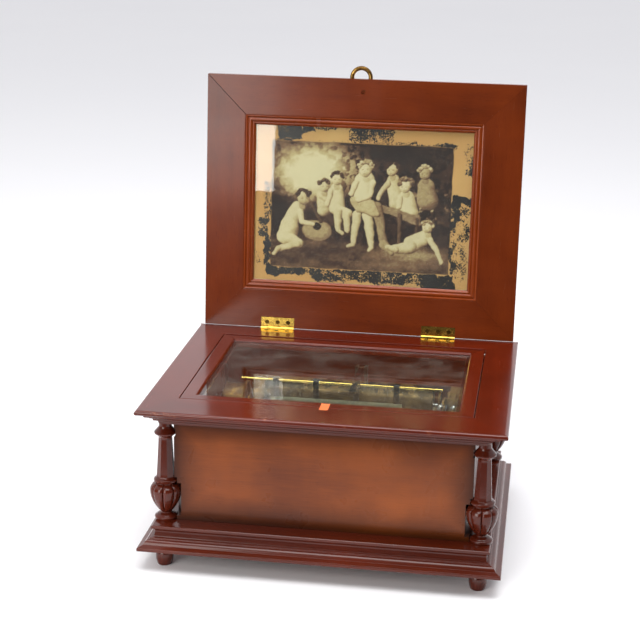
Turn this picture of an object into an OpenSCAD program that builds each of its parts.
// Cylinder music box in a column-cornered wooden case.
// Origin: on the floor, under the middle of the box as it stands with its lid open.
// +X is the box's right, +Y its back, +Z up.

/* [Case] */
// Width of the case body over its side panels
case_w = 396; // [350:1:480]
// Depth of the case body over its front and back panels
case_d = 306; // [290:1:400]
// Thickness of the case panels
wall_t = 12; // [8:0.5:16]
// How far the top and plinth stand out past the side panels
side_over = 42; // [38:1:60]
// How far the top and plinth stand out past the front and back panels
end_over = 44; // [42:1:60]
// Height of the turned feet
foot_h = 28.5; // [20:0.5:45]
// Largest radius of the feet
foot_r = 12; // [9:0.5:16]
// Height of the plinth moulding
plinth_h = 31; // [24:0.5:42]
// Width of the plinth's sloping lower part
plinth_step = 16; // [10:0.1:18]
// Height between plinth and cornice, which the corner columns fill
column_h = 141; // [110:0.5:200]
// Largest radius of the corner columns, at the lobed bulb
column_r = 21.5; // [14:0.5:22.5]
// Height of the cornice moulding under the top
cornice_h = 12.5; // [8:0.5:16]
// Thickness of the bottom board
bottom_t = 12; // [8:0.5:18]

/* [Top frame] */
// Thickness of the top frame and of the glazed lid that lies in it
frame_t = 13; // [11:0.5:18]
// Width of the top frame's front rail
top_front_w = 59; // [54:0.5:75]
// Width of the top frame's back rail
top_back_w = 44; // [34:0.5:50]
// Width of the top frame's side rails
top_side_w = 45.5; // [38:0.5:48]
// Thickness of the rounded nose along the top's edge
nose_t = 7; // [5:0.5:9]

/* [Glazed lid] */
// Gap between the glazed lid and the top frame
glass_lid_gap = 1.2; // [0.5:0.1:1.5]
// Width of the glazed lid's side stiles
stile_w = 20; // [16:0.5:30]
// Width of the glazed lid's front rail
front_rail_w = 18.5; // [10:0.5:24]
// Width of the glazed lid's back rail
back_rail_w = 23.5; // [20:0.5:36]
// Thickness of the glass pane
pane_t = 2.5; // [2:0.1:4]
// How far the pane lies below the frame's upper face
pane_drop = 3; // [1:0.1:4]
// Radius of the two steel pivots at the glazed lid's back
pivot_r = 2; // [1.5:0.1:2.6]

/* [Picture lid] */
// Angle from closed to open, where the lid leans back
open_angle = 94.3; // [90:0.1:105]
// Thickness of the lid
lid_t = 20; // [16:0.5:28]
// Width of the lid's four rails
lid_rail_w = 57.5; // [44:0.5:66]
// Set-back of the lid's sides from the nose of the top
lid_side_set = 7.4; // [4:0.1:14]
// Set-back of the closed lid's front edge from the nose of the top
lid_front_set = 13; // [0:0.1:20]
// Width of the moulding around the picture
picture_mould_w = 14.5; // [10:0.5:20]
// Thickness of that moulding, which is also the depth of the picture's glass
picture_mould_t = 7; // [5:0.5:9]
// Gap between the closed lid and the top
lid_gap = 1; // [0.6:0.1:2]

/* [Hinges and loop] */
// Length of each lid hinge
hinge_len = 50; // [40:1:60]
// Depth of each hinge leaf, from knuckle to edge
leaf_w = 16.5; // [12:0.5:22]
// Thickness of the hinge leaves
leaf_t = 2; // [1.5:0.1:2.5]
// Radius of the hinge knuckles
knuckle_r = 3; // [2.6:0.1:3.6]
// Radius of the hinge pins
hinge_pin_r = 1.2; // [1:0.1:1.4]
// Distance of the hinge line from the back edge of the top
hinge_inset = 4; // [3.6:0.1:14]
// Distance of each hinge from the middle of the lid
hinge_x = 121; // [90:0.5:140]
// Radius of the finger loop, to the middle of its wire
loop_r = 13.5; // [10:0.5:16]
// Radius of the finger loop's wire
loop_wire_r = 3.1; // [1.5:0.1:3.6]
// Distance of the finger loop from the middle, to the left
loop_x = 7; // [0:1:20]

/* [Cylinder and comb] */
// Radius of the pinned cylinder
drum_r = 24; // [21:0.5:28]
// Radius of the cylinder's arbor
arbor_r = 3; // [2.5:0.1:4]
// How far the cylinder shifts along its arbor to change the tune
tune_shift = 2.4; // [1:0.1:3]
// Number of comb teeth
comb_teeth = 64; // [40:1:80]
// Thickness of the comb
comb_t = 2.8; // [2:0.1:4]
// Length of the longest, lowest tooth
bass_tooth = 60; // [45:1:64]
// Length of the shortest, highest tooth
treble_tooth = 30; // [20:1:40]
// Gap between tooth tips and the cylinder's surface
comb_gap = 1.6; // [1.3:0.1:3]
// Thickness of the bedplate
bed_t = 8; // [5:0.5:12]

/* [Spring and governor] */
// Radius of the spring barrel
barrel_r = 27; // [22:0.5:27.5]
// Length of the spring barrel
barrel_len = 28; // [22:0.5:28]
// Length of the winding lever, from its pivot to its handle
lever_len = 80; // [60:1:86]
// Radius of the governor's fan
fan_r = 12; // [8:0.5:13]

/* [Zither] */
// Radius of the brass zither rail
rail_r = 2; // [1.5:0.1:2.5]
// Distance between the hangers on the zither rail
hanger_step = 57.5; // [40:0.5:60]
// Radius of the tissue roll that rests on the comb
roll_r = 3.6; // [3:0.1:4]

/* [Hidden] */
$fn = 48;

// clearances
hair = 0.1;      // hairline joint between pieces that meet
run = 0.05;      // radial running clearance of a shaft in its bore
small_pin_r = 1.5;   // pins of the click, zither, levers and governor arbor

// case heights, from the floor up
plinth_z = foot_h;
plinth_top = plinth_z + plinth_h;
cornice_z = plinth_top + column_h;
frame_z = cornice_z + cornice_h;
top_z = frame_z + frame_t;
bottom_z = plinth_z + 4;
panel_z = bottom_z + bottom_t;

// plan sizes
top_w = case_w + 2 * side_over;
top_d = case_d + 2 * end_over;
in_x = case_w / 2 - wall_t;
in_y = case_d / 2 - wall_t;
column_x = case_w / 2 + max(12.5, 0.57 * column_r + 0.24);   // shaft just clear of the side
column_y = case_d / 2 - 4.5;
foot_x = top_w / 2 - 30.5;
foot_y = top_d / 2 - 32.5;

// hinge line of the picture lid
hinge_y = top_d / 2 - hinge_inset;
hinge_z = top_z + lid_gap / 2;
lid_back_set = 0.8;                            // lid's back edge in front of the hinge line
lid_w = top_w - 2 * lid_side_set;
lid_d = top_d - hinge_inset - lid_back_set - lid_front_set;
lid_y1 = hinge_y - lid_back_set;               // closed lid's back edge
lid_y0 = lid_y1 - lid_d;                       // closed lid's front edge
lid_z0 = top_z + lid_gap;                      // closed lid's inner face
lean = open_angle - 90;
lid_reach = (lid_back_set + lid_d) * sin(lean) + (lid_gap / 2 + lid_t) * cos(lean);
stand_mid = (hinge_y + lid_reach - top_d / 2) / 2;   // middle of the open box, front to back

// opening that the glazed lid lies in
open_x = top_w / 2 - top_side_w;
open_y0 = -top_d / 2 + top_front_w;
open_y1 = top_d / 2 - top_back_w;
glid_x = open_x - glass_lid_gap;
glid_y0 = open_y0 + glass_lid_gap;
glid_y1 = open_y1 - glass_lid_gap;
pivot_y = glid_y1 - frame_t / 2;
pivot_z = frame_z + frame_t / 2;
pane_ledge = 5;                                // width of the ledge under the pane
lift_hole_x = -78;                             // small hole in the glazed lid's front rail

// cylinder axis, and the comb in front of it
cyl_y = in_y - 64;
cyl_z = top_z - 66;
bed_top = cyl_z - 36;
bed_x0 = -in_x + 10;
bed_x1 = in_x - 8;
bed_y0 = cyl_y - 114;
bed_y1 = cyl_y + 44;
drum_x0 = -in_x + 62;
drum_x1 = in_x - 60;
comb_margin = 14;                              // cylinder left bare past each end of the comb
comb_x0 = drum_x0 + comb_margin;
comb_x1 = drum_x1 - comb_margin;
comb_pitch = (comb_x1 - comb_x0) / comb_teeth;
comb_slot = comb_pitch * 0.28;
comb_tip_y = cyl_y - drum_r - comb_gap;
comb_back = 14;                                // solid part behind the longest tooth
comb_y0 = comb_tip_y - bass_tooth - comb_back;
comb_z = cyl_z - comb_t / 2;
comb_base_d = 28;

// spring barrel beside the cylinder's left end
great_m = 1;                                   // gear module of great wheel and pinion
great_teeth = 60;                              // one turn of the barrel is five of the cylinder
pinion_teeth = 12;
great_r = great_m * great_teeth / 2;
pinion_r = great_m * pinion_teeth / 2;
barrel_y = cyl_y - great_r - pinion_r;
lever_x = -in_x + 3;
ratchet_x = -in_x + 9;
stand_x0 = -in_x + 12.5;
barrel_x = -in_x + 18;
great_x = -in_x + 46.2;
stand_x1 = -in_x + 50.5;
plate_t = 3.5;
wheel_t = 3;
wind_r = 4;                                    // radius of the winding arbor

// governor beside the cylinder's right end
gov_m = 0.8;                                   // gear module of the governor's wheels
gov_wheel_teeth = 60;
gov_pinion_teeth = 12;
worm_teeth = 20;
gov_wheel_x = in_x - 52;
gov_y = cyl_y - gov_m * (gov_wheel_teeth + gov_pinion_teeth) / 2;
gov_plate_x0 = in_x - 47;
gov_plate_x1 = in_x - 18;
worm_x = in_x - 32;
worm_r = gov_m * worm_teeth / 2;
gear_add = 0.75;                               // tooth height above the pitch circle, in modules
gear_ded = 1;                                  // tooth depth below the pitch circle, in modules
screw_r = 2.2;                                 // radius of the endless screw
fly_x = worm_x + wheel_t / 2;
fly_y = gov_y - worm_r - gear_add * gov_m - 0.3 - screw_r;
fly_z0 = bed_top + 4;
fly_z1 = cyl_z + 33;

// zither above the tips of the comb
rail_y = comb_tip_y - 2.4;
rail_z = cyl_z + great_r + gear_add * great_m + rail_r + 0.45;  // above the great wheel's teeth
rail_x0 = -in_x + 39;
rail_x1 = in_x - 45;
arm_x = 18;
arm_w = 8;
hanger_x = [for (i = [-2:1]) arm_x + hanger_step * i];
arm_t = 4;
arm_z = rail_z + rail_r;
zither_y = in_y - 30;
zither_z = arm_z + arm_t / 2;
roll_z = comb_z + comb_t + hair + roll_r;
roll_x0 = hanger_x[0] - 8;
roll_x1 = hanger_x[3] + 8;

// levers at the right of the movement
lever_lean = 7;
lever_y = bed_y0 + 24;
lever_z = bed_top + 12;
play_x = in_x - 44;
change_x = in_x - 26;

// ---------- shared shapes ----------

module placed() {
    translate([0, -stand_mid, 0]) children();
}

// opens what is drawn as on the closed lid
module on_lid() {
    placed()
        translate([0, hinge_y, hinge_z])
            rotate([-open_angle, 0, 0])
                translate([0, -hinge_y, -hinge_z])
                    children();
}

// a box given by two corners
module block(low, high) {
    translate(low) cube(high - low);
}

// a solid along X of an outline drawn in Y and Z
module along_x(x0, x1) {
    translate([x0, 0, 0]) rotate([90, 0, 90]) linear_extrude(x1 - x0) children();
}

// a round rod along X
module rod_x(x0, x1, y, z, r) {
    translate([x0, y, z]) rotate([0, 90, 0]) cylinder(r = r, h = x1 - x0);
}

// one rail of a rectangular frame, along the front, from an outline in inset and height.
// half: half length outside; in0 and in1: end inset and depth of the mitre at its inner edge
module front_rail(half, y0, end_in, deep, outline) {
    intersection() {
        translate([0, y0, -1])
            linear_extrude(1000)
                polygon([[-half + hair, -1], [half - hair, -1],
                    [half - hair, 0], [half - end_in - hair, deep],
                    [-half + end_in + hair, deep], [-half + hair, 0]]);
        translate([0, y0, 0]) along_x(-half, half) polygon(outline);
    }
}

// four mitred rails around a rectangle w by d; ins: widths front, back, side;
// outlines: front, back, side, each in inset and height
module mitred_frame(w, d, ins, outlines) {
    front_rail(w / 2, -d / 2, ins[2], ins[0], outlines[0]);
    rotate(180) front_rail(w / 2, -d / 2, ins[2], ins[1], outlines[1]);
    for (a = [90, -90])
        rotate(a) side_rail(d, w, ins, a > 0, outlines[2]);
}

// a side rail: its two ends have the mitres of the front and the back rail
module side_rail(d, w, ins, is_right, outline) {
    front_end = is_right ? -1 : 1;
    intersection() {
        translate([0, -w / 2, -1])
            linear_extrude(1000)
                polygon([
                    [front_end * (d / 2 - hair), 0],
                    [-front_end * (d / 2 - hair), 0],
                    [-front_end * (d / 2 - ins[1] - hair), ins[2]],
                    [front_end * (d / 2 - ins[0] - hair), ins[2]]]);
        translate([0, -w / 2, 0]) along_x(-d / 2, d / 2) polygon(outline);
    }
}

// points along a quarter circle from angle a0 to a1
function arc(cx, cy, r, a0, a1, n = 6) =
    [for (i = [0:n]) let (a = a0 + (a1 - a0) * i / n) [cx + r * cos(a), cy + r * sin(a)]];

// ---------- gears ----------

function roll_angle(a) = tan(a) * 180 / PI - a;
// half the angle that a tooth takes up at radius r
function tooth_half(r, pitch_r, base_r, m, slack) =
    (PI * m / 2 - slack) / 2 / pitch_r * 180 / PI + roll_angle(25)
    - (r > base_r ? roll_angle(acos(base_r / r)) : 0);
// involute outline of a gear with 25 degree flanks
function gear_points(teeth, m, slack = 0.12) =
    let (pitch_r = m * teeth / 2, base_r = pitch_r * cos(25),
        root_r = pitch_r - gear_ded * m, tip_r = pitch_r + gear_add * m,
        low = max(base_r, root_r + 0.02),
        radii = concat([root_r], [for (i = [0:3]) low + (tip_r - low) * i / 3]))
    [for (t = [0:teeth - 1]) each concat(
        [for (r = radii) let (a = 360 * t / teeth - tooth_half(r, pitch_r, base_r, m, slack))
            r * [cos(a), sin(a)]],
        [for (i = [4:-1:0]) let (r = radii[i],
            a = 360 * t / teeth + tooth_half(r, pitch_r, base_r, m, slack))
            r * [cos(a), sin(a)]])];

// a gear on an axis along X, one tooth centred at angle turn from +Y
module gear_x(x0, y, z, teeth, m, turn, bore_r) {
    translate([0, y, z])
        difference() {
            along_x(x0, x0 + wheel_t) rotate(turn) polygon(gear_points(teeth, m));
            if (bore_r > 0) rod_x(x0 - 1, x0 + wheel_t + 1, 0, 0, bore_r);
        }
}

// ---------- case ----------

module bottom_board() {
    placed() color("sienna")
        block([-case_w / 2, -case_d / 2, bottom_z], [case_w / 2, case_d / 2, panel_z - hair]);
}

// plinth moulding: an ogee foot, a narrow ledge, a cove and an upper ledge
function plinth_outline(over) = concat(
    [[0, plinth_z], [over - hair, plinth_z], [over - hair, plinth_top]],
    [[plinth_step + 1.5, plinth_top], [plinth_step, plinth_top - 1.5],
        [plinth_step, plinth_top - 4]],
    arc(plinth_step, plinth_top - 9, 5, 90, 0, 5),
    [[plinth_step + 3.5, plinth_z + 14.8], [plinth_step - 1.2, plinth_z + 14.8]],
    [[plinth_step - 1.2, plinth_z + 13]],
    arc(plinth_step, plinth_z + 5, 9, 120, 165, 4),
    [[0, plinth_z + 4.6]]);

module plinth() {
    placed() color("saddlebrown")
        mitred_frame(top_w, top_d, [end_over, end_over, side_over],
            [plinth_outline(end_over), plinth_outline(end_over), plinth_outline(side_over)]);
}

module foot() {
    rotate_extrude()
        polygon(concat([[0, 0], [foot_r * 0.78, 0], [foot_r * 0.84, 2]],
            arc(foot_r * 0.5, foot_h * 0.52, foot_r * 0.5, -40, 60, 6),
            [[foot_r * 0.66, foot_h * 0.86], [foot_r * 0.9, foot_h - 3],
                [foot_r * 0.9, foot_h - hair], [0, foot_h - hair]]));
}

module feet() {
    placed() color("saddlebrown")
        for (sx = [-1, 1], sy = [-1, 1]) translate([sx * foot_x, sy * foot_y, 0]) foot();
}

// where a column is wider than its shaft: from, to (parts of its height), radius (part of its own)
column_wide = [[0, 0.04, 0.73], [0.04, 0.37, 1], [0.37, 0.428, 0.76], [0.83, 0.91, 0.69]];

// panel with hollows at the corners of the body, for the wide parts of the columns
module wall_panel(x0, x1, y0, y1) {
    difference() {
        block([x0, y0, panel_z], [x1, y1, frame_z]);
        for (sx = [-1, 1], sy = [-1, 1], part = column_wide)
            translate([sx * column_x, sy * column_y, plinth_top + part[0] * column_h])
                cylinder(r = part[2] * column_r + 0.4, h = (part[1] - part[0]) * column_h, $fn = 96);
    }
}

module front_panel() {
    placed() color("chocolate")
        wall_panel(-case_w / 2, case_w / 2, -case_d / 2, -in_y);
}

module back_panel() {
    placed() color("sienna")
        wall_panel(-case_w / 2, case_w / 2, in_y, case_d / 2);
}

module side_panel(side) {
    placed() color("sienna")
        wall_panel(min(side * in_x, side * case_w / 2), max(side * in_x, side * case_w / 2),
            -in_y + hair, in_y - hair);
}

module left_panel() side_panel(-1);
module right_panel() side_panel(1);

// corner column: foot ring, neck, lobed bulb, ring, eight-sided shaft and capital
shaft_z0 = 0.425 * column_h;                   // where the shaft starts above the plinth
shaft_z1 = 0.828 * column_h;                   // where the capital starts

module column() {
    low = [[0, 0], [0.72, 0], [0.73, 0.032], [0.6, 0.045], [0.34, 0.06], [0.34, 0.07],
        [0.4, 0.08], [0.6, 0.126], [0.84, 0.184], [0.965, 0.234], [1, 0.276], [0.99, 0.305],
        [0.9, 0.333], [0.74, 0.351], [0.62, 0.362], [0.64, 0.368], [0.75, 0.38], [0.76, 0.4],
        [0.68, 0.414], [0.57, 0.425], [0, 0.425]];
    high = [[0, 0.828], [0.44, 0.828], [0.56, 0.842], [0.68, 0.858], [0.69, 0.872],
        [0.56, 0.9], [0.4, 0.93], [0.39, 0.985], [0.46, 1], [0, 1]];
    translate([0, 0, plinth_top + hair]) {
        fit = column_h - 2 * hair;
        rotate_extrude() polygon([for (p = low) [p[0] * column_r, p[1] * fit]]);
        translate([0, 0, shaft_z0 - 1])
            rotate(22.5)
                linear_extrude(shaft_z1 - shaft_z0 + 2, scale = 0.75)
                    circle(r = column_r * 0.57, $fn = 8);
        rotate_extrude() polygon([for (p = high) [p[0] * column_r, p[1] * fit]]);
    }
}

module column_at(sx, sy) {
    placed() color("saddlebrown") translate([sx * column_x, sy * column_y, 0]) column();
}

module column_front_left() column_at(-1, -1);
module column_front_right() column_at(1, -1);
module column_back_left() column_at(-1, 1);
module column_back_right() column_at(1, 1);

// cornice: two stepped quarter rounds under the top
function cornice_outline(over) = concat(
    [[over - hair, cornice_z], [over - hair, frame_z - hair], [16, frame_z - hair],
        [16, frame_z - 1.5]],
    arc(16, frame_z - 6, 4.5, 90, 0, 4),
    [[22, frame_z - 6]],
    arc(22, cornice_z + 1.2, frame_z - 6 - cornice_z - 1.2, 90, 0, 4),
    [[27.6, cornice_z + 1.2], [27.6, cornice_z]]);

module cornice() {
    placed() color("saddlebrown")
        mitred_frame(top_w, top_d, [end_over, end_over, side_over],
            [cornice_outline(end_over), cornice_outline(end_over), cornice_outline(side_over)]);
}

// rail of the top: rounded nose, and an ogee cut back under it
function top_outline(wide) = concat(
    [[wide, frame_z], [wide, top_z]],
    [[nose_t / 2, top_z]],
    arc(nose_t / 2, top_z - nose_t / 2, nose_t / 2, 90, 250, 6),
    [[5, top_z - nose_t]],
    arc(5, frame_z + 0.8, frame_t - nose_t - 0.8, 90, 10, 4),
    [[14, frame_z + 0.8], [14, frame_z]]);

// back rail of the top: the same, but its upper edge is left square for the open lid to stand behind
function top_back_outline(wide) = concat(
    [[wide, frame_z], [wide, top_z], [0.6, top_z], [0, top_z - 0.6], [0, top_z - nose_t + 1],
        [1, top_z - nose_t], [5, top_z - nose_t]],
    arc(5, frame_z + 0.8, frame_t - nose_t - 0.8, 90, 10, 4),
    [[14, frame_z + 0.8], [14, frame_z]]);

// pockets for the lid hinges, cut in the top frame's back rail
module hinge_pockets() {
    for (sx = [-1, 1]) {
        block([sx * hinge_x - hinge_len / 2 - hair, hinge_y - leaf_w - hair, top_z - leaf_t],
            [sx * hinge_x + hinge_len / 2 + hair, hinge_y, top_z + 1]);
        rod_x(sx * hinge_x - hinge_len / 2 - hair, sx * hinge_x + hinge_len / 2 + hair,
            hinge_y, hinge_z, knuckle_r + 0.3);
    }
}

module top_frame() {
    placed() color("brown")
        difference() {
            mitred_frame(top_w, top_d, [top_front_w, top_back_w, top_side_w],
                [top_outline(top_front_w), top_back_outline(top_back_w), top_outline(top_side_w)]);
            hinge_pockets();
            hinge_screws(top_z, hinge_y - leaf_w / 2 - 1, hair);
            rod_x(-open_x - 8, open_x + 8, pivot_y, pivot_z, pivot_r + run);
        }
}

// ---------- picture lid, drawn closed ----------

function lid_outline(wide, edge) = [
    [0, lid_z0], [wide, lid_z0], [wide, lid_z0 + lid_t], [edge + 2, lid_z0 + lid_t],
    [edge, lid_z0 + lid_t - 2], [2.5, lid_z0 + lid_t - 6], [0, lid_z0 + lid_t - 7]];

module lid_frame() {
    outline = lid_outline(lid_rail_w, 9);
    on_lid() color("brown")
        difference() {
            translate([0, (lid_y0 + lid_y1) / 2, 0])
                mitred_frame(lid_w, lid_d, [lid_rail_w, lid_rail_w, lid_rail_w],
                    [outline, outline, outline]);
            for (sx = [-1, 1])
                block([sx * hinge_x - hinge_len / 2 - hair, hinge_y - leaf_w - hair, lid_z0 - 1],
                    [sx * hinge_x + hinge_len / 2 + hair, hinge_y, lid_z0 + leaf_t]);
            for (sx = [-1, 1])
                rod_x(sx * hinge_x - hinge_len / 2 - hair, sx * hinge_x + hinge_len / 2 + hair,
                    hinge_y, hinge_z, knuckle_r + 0.3);
            lid_screws(hair);
            loop_legs(loop_wire_r + run);
            loop_screw_shape(hair);
        }
}

lid_in_x = lid_w / 2 - lid_rail_w - hair;
lid_in_y0 = lid_y0 + lid_rail_w + hair;
lid_in_y1 = lid_y1 - lid_rail_w - hair;
glass_z0 = lid_z0 + picture_mould_t + hair;
print_z0 = glass_z0 + 2;
board_z0 = print_z0 + 0.6;

module picture_moulding() {
    outline = concat([[hair, lid_z0 + 0.4], [3, lid_z0 + 0.2]],
        arc(picture_mould_w - 5.5, lid_z0 + 6, 5, -100, -20, 4),
        [[picture_mould_w - 1.2, lid_z0 + picture_mould_t - 1.6],
            [picture_mould_w, lid_z0 + picture_mould_t - 1.2],
            [picture_mould_w, lid_z0 + picture_mould_t], [hair, lid_z0 + picture_mould_t]]);
    on_lid() color("sienna")
        translate([0, (lid_y0 + lid_y1) / 2, 0])
            mitred_frame(lid_w - 2 * lid_rail_w, lid_d - 2 * lid_rail_w,
                [picture_mould_w, picture_mould_w, picture_mould_w],
                [outline, outline, outline]);
}

module lid_sheet(z0, z1) {
    on_lid() block([-lid_in_x, lid_in_y0, z0], [lid_in_x, lid_in_y1, z1]);
}

module picture_glass() color("lightblue", 0.4) lid_sheet(glass_z0, print_z0 - hair);
module picture_print() color("wheat") lid_sheet(print_z0, board_z0 - hair);
module lid_board() color("sienna") lid_sheet(board_z0, lid_z0 + lid_t - 1.5);

// finger loop in the lid's front edge
loop_out = 1.5;                                  // straight part of the loop outside the lid
loop_in = 14;                                  // length of its legs inside the lid
loop_z = lid_z0 + lid_t / 2;
loop_screw_x = 4.5 - loop_x;                   // screw that holds one of its legs

module loop_legs(r) {
    for (sx = [-1, 1])
        translate([-loop_x + sx * loop_r, lid_y0 - loop_out, loop_z])
            rotate([-90, 0, 0]) cylinder(r = r, h = loop_out + loop_in);
}

module lid_loop() {
    on_lid() color("gold") {
        loop_legs(loop_wire_r);
        translate([-loop_x, lid_y0 - loop_out, loop_z])
            rotate(180) rotate_extrude(angle = 180) translate([loop_r, 0]) circle(r = loop_wire_r);
    }
}

// countersunk wood screw with its head flush at z = 0; grow widens it for the hole it sits in
module wood_screw(head_r, len, grow) {
    translate([0, 0, -1.6]) cylinder(r1 = head_r * 0.5 + grow, r2 = head_r + grow, h = 1.6);
    translate([0, 0, -len]) cylinder(r = head_r * 0.5 + grow, h = len - 1.59);
}

module loop_screw_shape(grow) {
    translate([loop_screw_x, lid_y0 + 18.8, lid_z0]) mirror([0, 0, 1]) wood_screw(3.2, 6, grow);
}

module loop_screw() {
    on_lid() color("gold")
        difference() {
            loop_screw_shape(0);
            block([loop_screw_x - 4, lid_y0 + 18.4, lid_z0 - 1],
                [loop_screw_x + 4, lid_y0 + 19.2, lid_z0 + 0.7]);
        }
}

// ---------- lid hinges ----------

screw_head_r = 3.1;
hinge_screw_step = 16;

// knuckles numbered 0 to 4 along each hinge; which: the ones that this leaf owns
module hinge_knuckles(which) {
    seg = hinge_len / 5;
    for (sx = [-1, 1], i = which)
        difference() {
            x0 = sx * hinge_x - hinge_len / 2 + seg * i;
            rod_x(x0 + run, x0 + seg - run, hinge_y, hinge_z, knuckle_r);
            rod_x(x0 - 1, x0 + seg + 1, hinge_y, hinge_z, hinge_pin_r + run);
        }
}

module hinge_leaf(z0, z1, which) {
    seg = hinge_len / 5;
    difference() {
        union() {
            for (sx = [-1, 1]) {
                block([sx * hinge_x - hinge_len / 2, hinge_y - leaf_w, z0],
                    [sx * hinge_x + hinge_len / 2, hinge_y - knuckle_r - 0.6, z1]);
                for (i = which) {
                    x0 = sx * hinge_x - hinge_len / 2 + seg * i;
                    block([x0 + run, hinge_y - knuckle_r - 1, z0], [x0 + seg - run, hinge_y, z1]);
                }
            }
            hinge_knuckles(which);
        }
        for (sx = [-1, 1])
            rod_x(sx * hinge_x - hinge_len, sx * hinge_x + hinge_len, hinge_y, hinge_z,
                hinge_pin_r + run);
        children();
    }
}

module hinge_screws(z, y, grow) {
    for (sx = [-1, 1], i = [-1:1])
        translate([sx * hinge_x + i * hinge_screw_step, y, z])
            wood_screw(screw_head_r, 10, grow);
}

module lid_screws(grow) {
    for (sx = [-1, 1], i = [-1:1])
        translate([sx * hinge_x + i * hinge_screw_step, hinge_y - leaf_w / 2 - 1, lid_z0])
            mirror([0, 0, 1]) wood_screw(screw_head_r, 10, grow);
}

module lid_hinge_fixed_leaves() {
    placed() color("gold")
        hinge_leaf(top_z - leaf_t + hair, top_z, [0, 2, 4])
            hinge_screws(top_z, hinge_y - leaf_w / 2 - 1, hair);
}

module lid_hinge_fixed_screws() {
    placed() color("goldenrod") hinge_screws(top_z, hinge_y - leaf_w / 2 - 1, 0);
}

module lid_hinge_moving_leaves() {
    on_lid() color("gold") hinge_leaf(lid_z0, lid_z0 + leaf_t - hair, [1, 3]) lid_screws(hair);
}

module lid_hinge_moving_screws() {
    on_lid() color("goldenrod") lid_screws(0);
}

module lid_hinge_pins() {
    placed() color("goldenrod")
        for (sx = [-1, 1])
            rod_x(sx * hinge_x - hinge_len / 2, sx * hinge_x + hinge_len / 2, hinge_y, hinge_z,
                hinge_pin_r);
}

// ---------- glazed inner lid ----------

// rail with a ledge under the pane; the back rail's outer edge is a half round
function glid_outline(wide, round_back) = concat(
    round_back
        ? arc(frame_t / 2, pivot_z, frame_t / 2, 270, 90, 8)
        : [[0, frame_z + hair], [0, top_z]],
    [[wide, top_z], [wide, top_z - pane_drop - pane_t],
        [wide + pane_ledge, top_z - pane_drop - pane_t],
        [wide + pane_ledge, frame_z + hair + 2], [wide + pane_ledge - 2, frame_z + hair]]);

module glass_lid_frame() {
    glid_w = 2 * glid_x;
    glid_d = glid_y1 - glid_y0;
    placed() color("brown")
        difference() {
            translate([0, (glid_y0 + glid_y1) / 2, 0])
                intersection() {
                    mitred_frame(glid_w, glid_d,
                        [front_rail_w + pane_ledge, back_rail_w + pane_ledge, stile_w + pane_ledge],
                        [glid_outline(front_rail_w, false), glid_outline(back_rail_w, true),
                            glid_outline(stile_w, false)]);
                    along_glid(glid_w, glid_d);
                }
            rod_x(-glid_x - 1, -glid_x + 12, pivot_y, pivot_z, pivot_r + run);
            rod_x(glid_x - 12, glid_x + 1, pivot_y, pivot_z, pivot_r + run);
            translate([lift_hole_x, glid_y0 + 4, top_z - 5]) cylinder(r = 1.6, h = 6);
        }
}

// outline seen from the side, so that the stiles' back ends are round too
module along_glid(w, d) {
    along_x(-w / 2, w / 2)
        polygon(concat([[-d / 2, frame_z], [-d / 2, top_z + 1], [d / 2 - frame_t / 2, top_z + 1]],
            arc(d / 2 - frame_t / 2, pivot_z, frame_t / 2, 90, -90, 12)));
}

module glass_pane() {
    placed() color("lightblue", 0.4)
        block([-glid_x + stile_w + 0.3, glid_y0 + front_rail_w + 0.3, top_z - pane_drop - pane_t + hair],
            [glid_x - stile_w - 0.3, glid_y1 - back_rail_w - 0.3, top_z - pane_drop]);
}

module glass_lid_pivots() {
    placed() color("silver")
        for (sx = [-1, 1]) {
            x0 = sx * (open_x - 0.5 - glass_lid_gap);
            rod_x(min(x0 - sx * 10, x0 + sx * 8), max(x0 - sx * 10, x0 + sx * 8), pivot_y, pivot_z,
                pivot_r);
        }
}

// ---------- movement, fixed pieces ----------

module bearers() {
    placed() color("burlywood")
        for (x = [bed_x0 + 8, bed_x1 - 38])
            block([x, bed_y0 + 4, panel_z], [x + 30, bed_y1 - 4, bed_top - bed_t - hair]);
}

bed_screw_x = [bed_x0 + 20, bed_x1 - 20];
bed_screw_y = [bed_y0 + 10, bed_y1 - 10];

module machine_screw(head_r, head_h, shank_r, len) {
    difference() {
        cylinder(r = head_r, h = head_h);
        translate([-head_r - 1, -0.5, head_h - 1]) cube([2 * head_r + 2, 1, 2]);
    }
    translate([0, 0, -len]) cylinder(r = shank_r, h = len + 0.1);
}

module bed_screw_places() {
    for (x = bed_screw_x, y = bed_screw_y) translate([x, y, bed_top]) children();
}

module bedplate() {
    placed() color("dimgray")
        difference() {
            block([bed_x0, bed_y0, bed_top - bed_t], [bed_x1, bed_y1, bed_top]);
            bed_screw_places() translate([0, 0, -bed_t - 1]) cylinder(r = 2.6, h = bed_t + 2);
        }
}

module bedplate_screws() {
    placed() color("silver") bed_screw_places() machine_screw(5, 3, 2.5, bed_t + 14);
}

module comb_base() {
    placed() color("goldenrod")
        difference() {
            block([comb_x0 - 4, comb_y0, bed_top], [comb_x1 + 4, comb_y0 + comb_base_d, comb_z - hair]);
            comb_screw_places() translate([0, 0, -20]) cylinder(r = 2.1, h = 30);
        }
}

comb_screw_n = 7;

module comb_screw_places() {
    step = (comb_x1 - comb_x0 - 20) / (comb_screw_n - 1);
    for (i = [0:comb_screw_n - 1])
        translate([comb_x0 + 10 + step * i, comb_y0 + comb_back / 2, comb_z + comb_t]) children();
}

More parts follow.
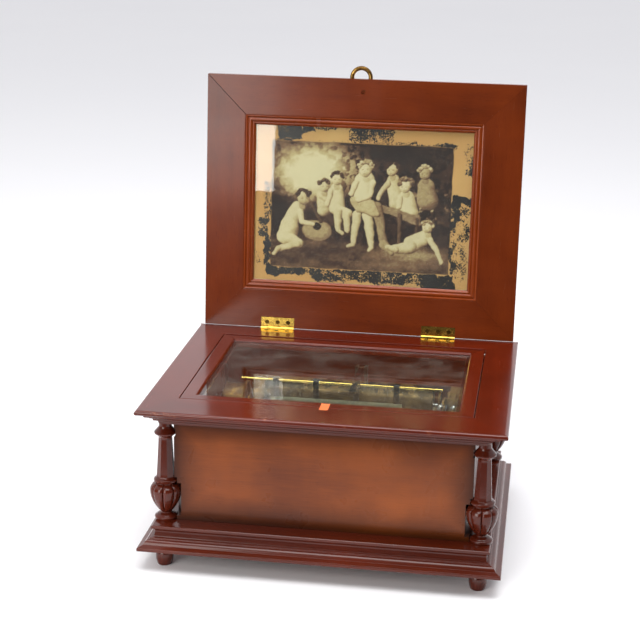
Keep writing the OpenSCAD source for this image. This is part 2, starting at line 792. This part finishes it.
// steel comb: slots get shorter from bass to treble
module comb() {
    placed() color("slategray")
        difference() {
            block([comb_x0, comb_y0, comb_z], [comb_x1, comb_tip_y, comb_z + comb_t]);
            for (i = [1:comb_teeth - 1]) {
                long = bass_tooth + (treble_tooth - bass_tooth) * i / comb_teeth;
                translate([comb_x0 + comb_pitch * i - comb_slot / 2, comb_tip_y - long, comb_z - 1])
                    cube([comb_slot, long + 1, comb_t + 2]);
            }
            comb_screw_places() translate([0, 0, -comb_t - 1]) cylinder(r = 2.1, h = comb_t + 2);
        }
}

module comb_screws() {
    placed() color("steelblue") comb_screw_places() machine_screw(4.4, 2.8, 2, 16);
}

// upright bearing for a shaft along X, with a round head
module bearing(x0, t, y, z, head_r, bore_r) {
    difference() {
        union() {
            rod_x(x0, x0 + t, y, z, head_r);
            block([x0, y - head_r, bed_top], [x0 + t, y + head_r, z]);
        }
        rod_x(x0 - 1, x0 + t + 1, y, z, bore_r);
    }
}

module cylinder_bearings() {
    placed() color("goldenrod") {
        bearing(-in_x + 52, 5, cyl_y, cyl_z, 8, arbor_r + run);
        bearing(in_x - 47, 5, cyl_y, cyl_z, 8, arbor_r + run);
    }
}

click_y = barrel_y + 16;
click_z = cyl_z + 8;
ratchet_r = 12;
click_at = 55;                                 // where the click points, round the ratchet wheel
click_tip_r = ratchet_r + 1.4;

module barrel_stand() {
    placed() color("goldenrod") {
        difference() {
            union() {
                bearing(stand_x0, plate_t, barrel_y, cyl_z, 12, wind_r + run);
                block([stand_x0, barrel_y, bed_top], [stand_x0 + plate_t, click_y + 5, click_z + 5]);
            }
            rod_x(stand_x0 - 1, stand_x0 + plate_t + 1, barrel_y, cyl_z, wind_r + run);
            rod_x(stand_x0 - 1, stand_x0 + plate_t + 1, click_y, click_z, small_pin_r + run);
        }
        bearing(stand_x1, plate_t, barrel_y, cyl_z, 12, wind_r + run);
    }
}

module governor_frame() {
    post_y0 = fly_y - fan_r - 6;
    placed() color("goldenrod")
        difference() {
            union() {
                block([gov_plate_x0, post_y0, bed_top],
                    [gov_plate_x1 + wheel_t, gov_y + 8, fly_z0]);
                for (x = [gov_plate_x0, gov_plate_x1])
                    block([x, gov_y - 7.5, fly_z0 - 1], [x + wheel_t, gov_y + 7.5, cyl_z + 9]);
                block([fly_x - 4, post_y0, fly_z0 - 1], [fly_x + 4, post_y0 + 4.5, fly_z1]);
                block([fly_x - 4, post_y0, fly_z1 - 4], [fly_x + 4, fly_y + 4, fly_z1]);
            }
            rod_x(gov_plate_x0 - 1, gov_plate_x1 + 10, gov_y, cyl_z, small_pin_r + run);
            translate([fly_x, fly_y, fly_z0 - 2]) cylinder(r = 1 + run, h = fly_z1 - fly_z0);
        }
}

module zither_bracket() {
    placed() color("dimgray")
        difference() {
            union() {
                block([arm_x - 9, zither_y - 5, bed_top], [arm_x + 9, zither_y + 5, bed_top + 6]);
                for (x = [arm_x - 9, arm_x + arm_w / 2 + 0.5])
                    block([x, zither_y - 5, bed_top], [x + 4.5, zither_y + 5, zither_z + 4]);
            }
            rod_x(arm_x - 20, arm_x + 20, zither_y, zither_z, small_pin_r + run);
        }
}

module lever_bracket() {
    placed() color("goldenrod")
        difference() {
            union() {
                block([play_x - 8, lever_y - 7, bed_top], [change_x + 8, lever_y + 7, bed_top + 4]);
                for (x = [play_x - 8, (play_x + change_x) / 2 - 2, change_x + 4])
                    block([x, lever_y - 5, bed_top], [x + 4, lever_y + 5, lever_z + 5]);
            }
            rod_x(play_x - 9, change_x + 9, lever_y, lever_z, small_pin_r + run);
        }
}

// ---------- cylinder and its arbor ----------

module cylinder_arbor() {
    placed() color("silver") {
        rod_x(great_x - 2, in_x - 40, cyl_y, cyl_z, arbor_r);
        gear_x(great_x, cyl_y, cyl_z, pinion_teeth, great_m, 180 + 180 / pinion_teeth, 0);
    }
}

module governor_wheel() {
    placed() color("gold")
        gear_x(gov_wheel_x, cyl_y, cyl_z, gov_wheel_teeth, gov_m, 180, arbor_r);
}

// stepped cam that sets which tune the pins play
module tune_snail() {
    steps = 6;
    placed() color("gold")
        translate([0, cyl_y, cyl_z])
            difference() {
                along_x(-in_x + 57.5, -in_x + 60.5)
                    polygon([for (i = [0:steps - 1], j = [0:3])
                        let (a = (i + j / 3.2) * 360 / steps, r = 9 + i * 0.8) r * [cos(a), sin(a)]]);
                rod_x(-in_x, 0, 0, 0, arbor_r);
            }
}

module music_cylinder() {
    wall = 2;
    placed() color("goldenrod")
        translate([drum_x0, cyl_y, cyl_z])
            rotate([0, 90, 0])
                rotate_extrude()
                    polygon([[arbor_r + run, 0], [drum_r, 0], [drum_r, drum_x1 - drum_x0],
                        [arbor_r + run, drum_x1 - drum_x0], [arbor_r + run, drum_x1 - drum_x0 - 3],
                        [drum_r - wall, drum_x1 - drum_x0 - 3], [drum_r - wall, 3],
                        [arbor_r + run, 3]]);
}

// ---------- spring barrel and winding ----------

module spring_barrel() {
    placed() color("goldenrod")
        translate([barrel_x + 2.2, barrel_y, cyl_z])
            rotate([0, 90, 0])
                rotate_extrude()
                    polygon([[wind_r + run, barrel_len - 4.2], [barrel_r - 1.6, barrel_len - 4.2],
                        [barrel_r - 1.6, 0], [barrel_r, 0], [barrel_r, barrel_len - 2.2],
                        [wind_r + run, barrel_len - 2.2]]);
}

module barrel_cover() {
    placed() color("gold")
        difference() {
            rod_x(barrel_x, barrel_x + 2.1, barrel_y, cyl_z, barrel_r);
            rod_x(barrel_x - 1, barrel_x + 4, barrel_y, cyl_z, wind_r + run);
        }
}

module great_wheel() {
    placed() color("gold")
        gear_x(great_x, barrel_y, cyl_z, great_teeth, great_m, 0, wind_r + run);
}

// coiled band inside the barrel, a spiral that is wider apart near the hub
module mainspring() {
    turns = 7;
    per_turn = 20;
    r0 = wind_r + 1.5;
    r1 = barrel_r - 3.4;
    thick = 0.9;
    n = turns * per_turn;
    function spiral(off) = [for (i = [0:n])
        let (a = 360 * i / per_turn, r = r0 + (r1 - r0) * i / n + off) r * [cos(a), sin(a)]];
    inner = spiral(0);
    outer = spiral(thick);
    placed() color("slategray")
        translate([0, barrel_y, cyl_z])
            along_x(barrel_x + 4, barrel_x + barrel_len - 5)
                polygon(concat(inner, [for (i = [n:-1:0]) outer[i]]));
}

module winding_arbor() {
    placed() color("silver") rod_x(lever_x - 1, stand_x1 + plate_t + 1, barrel_y, cyl_z, wind_r);
}

module ratchet_wheel() {
    teeth = 18;
    placed() color("silver")
        translate([0, barrel_y, cyl_z])
            difference() {
                along_x(ratchet_x, ratchet_x + wheel_t)
                    polygon([for (i = [0:teeth - 1], j = [0, 1]) let (a = 360 * (i + j * 0.12) / teeth)
                        (j == 0 ? ratchet_r : ratchet_r - 2) * [cos(a), sin(a)]]);
                rod_x(-in_x, 0, 0, 0, wind_r);
            }
}

// winding lever at rest, pointing to the front and a little down
lever_down = 15;
handle_r = 5;

module winding_lever() {
    placed()
        translate([0, barrel_y, cyl_z])
            rotate([lever_down, 0, 0]) {
                color("silver")
                    difference() {
                        union() {
                            rod_x(lever_x, lever_x + plate_t, 0, 0, 9);
                            block([lever_x, -lever_len, -4], [lever_x + plate_t, 0, 4]);
                            rod_x(lever_x, lever_x + plate_t, -lever_len, 0, 5);
                        }
                        rod_x(-in_x, 0, 0, 0, wind_r);
                    }
                color("gold")
                    rod_x(lever_x + plate_t, lever_x + plate_t + 14, -lever_len, 0, handle_r);
            }
}

module click() {
    placed() color("silver")
        union() {
            hull() {
                rod_x(ratchet_x, ratchet_x + wheel_t, click_y, click_z, 3);
                rod_x(ratchet_x, ratchet_x + wheel_t, barrel_y + click_tip_r * cos(click_at),
                    cyl_z + click_tip_r * sin(click_at), 0.9);
            }
            rod_x(ratchet_x, stand_x0 + plate_t, click_y, click_z, small_pin_r);
        }
}

// ---------- governor ----------

module governor_arbor() {
    placed() color("silver") {
        rod_x(gov_wheel_x - 1, gov_plate_x1 + wheel_t + 1, gov_y, cyl_z, small_pin_r);
        gear_x(gov_wheel_x, gov_y, cyl_z, gov_pinion_teeth, gov_m, 180 / gov_pinion_teeth, 0);
    }
}

module worm_wheel() {
    placed() color("gold")
        gear_x(worm_x, gov_y, cyl_z, worm_teeth, gov_m, 0, small_pin_r);
}

module fly_screw() {
    placed() color("silver")
        translate([fly_x, fly_y, 0])
            rotate_extrude()
                polygon([[0, fly_z0 - 1.5], [1, fly_z0 - 1.5], [1, cyl_z - 12], [screw_r, cyl_z - 11],
                    [screw_r, cyl_z + 11], [1, cyl_z + 12], [1, fly_z1 - 2.2], [0, fly_z1 - 2.2]]);
}

module fly_fan() {
    placed() color("gold")
        translate([fly_x, fly_y, cyl_z + 14])
            difference() {
                union() {
                    cylinder(r = 2.4, h = 13);
                    block([-fan_r, -0.4, 1], [fan_r, 0.4, 12]);
                }
                translate([0, 0, -1]) cylinder(r = 1, h = 20);
            }
}

// ---------- zither ----------

tip_y = comb_y0 + comb_base_d - 2;

module zither_rail() {
    placed() {
        color("gold") rod_x(rail_x0, rail_x1, rail_y, rail_z, rail_r);
        color("dimgray") {
            difference() {
                union() {
                    block([arm_x - arm_w / 2, tip_y, arm_z - 0.4],
                        [arm_x + arm_w / 2, zither_y, arm_z + arm_t]);
                    rod_x(arm_x - arm_w / 2, arm_x + arm_w / 2, zither_y, zither_z, 3.5);
                }
                rod_x(arm_x - arm_w, arm_x + arm_w, zither_y, zither_z, small_pin_r + run);
            }
            translate([arm_x, rail_y, arm_z + arm_t - 0.1]) cylinder(r = 6, h = 3.5);
        }
        color("gold")
            translate([arm_x, tip_y + 3, 0])
                rotate_extrude()
                    polygon([[0, arm_z + arm_t - 0.2], [1.5, arm_z + arm_t - 0.2],
                        [1.5, arm_z + arm_t + 2], [2.6, arm_z + arm_t + 3.4],
                        [2.6, arm_z + arm_t + 5], [1.4, arm_z + arm_t + 6.4],
                        [0, arm_z + arm_t + 6.6]]);
    }
}

module zither_hangers() {
    placed() color("dimgray")
        for (x = hanger_x)
            difference() {
                union() {
                    block([x - 4, rail_y - 4, rail_z - 5],
                        [x + 4, rail_y + 4, rail_z + (x == arm_x ? rail_r - 0.5 : rail_r + 2)]);
                    block([x - 4, rail_y - 1, roll_z + roll_r + hair], [x + 4, rail_y + 1, rail_z]);
                }
                rod_x(x - 5, x + 5, rail_y, rail_z, rail_r);
            }
}

module zither_roll() {
    placed() color("darkolivegreen") rod_x(roll_x0, roll_x1, rail_y, roll_z, roll_r);
}

// ---------- levers ----------

module control_lever(x, knob_colour) {
    placed()
        translate([x, lever_y, lever_z])
            rotate([-lever_lean, 0, 0]) {
                color("silver") {
                    difference() {
                        rod_x(-3, 3, 0, 0, 4);
                        rod_x(-4, 4, 0, 0, small_pin_r + run);
                    }
                    translate([-1.5, -3, 3]) cube([3, 6, 42]);
                }
                color(knob_colour)
                    translate([0, 0, 44.9])
                        rotate_extrude()
                            polygon(concat([[0, 0], [2.5, 0]], arc(0, 6.5, 5, -50, 90, 8)));
            }
}

module play_lever() control_lever(play_x, "gold");
module change_lever() control_lever(change_x, "gold");

bottom_board();
plinth();
feet();
front_panel();
back_panel();
left_panel();
right_panel();
column_front_left();
column_front_right();
column_back_left();
column_back_right();
cornice();
top_frame();
bearers();
bedplate();
bedplate_screws();
comb_base();
comb();
comb_screws();
cylinder_bearings();
barrel_stand();
governor_frame();
zither_bracket();
lever_bracket();
lid_hinge_fixed_leaves();
lid_hinge_fixed_screws();
glass_lid_pivots();
lid_frame();
lid_board();
picture_moulding();
picture_print();
picture_glass();
lid_loop();
loop_screw();
lid_hinge_moving_leaves();
lid_hinge_moving_screws();
lid_hinge_pins();
glass_lid_frame();
glass_pane();
cylinder_arbor();
governor_wheel();
tune_snail();
music_cylinder();
spring_barrel();
barrel_cover();
great_wheel();
mainspring();
winding_arbor();
ratchet_wheel();
winding_lever();
click();
governor_arbor();
worm_wheel();
fly_screw();
fly_fan();
zither_rail();
zither_hangers();
zither_roll();
play_lever();
change_lever();
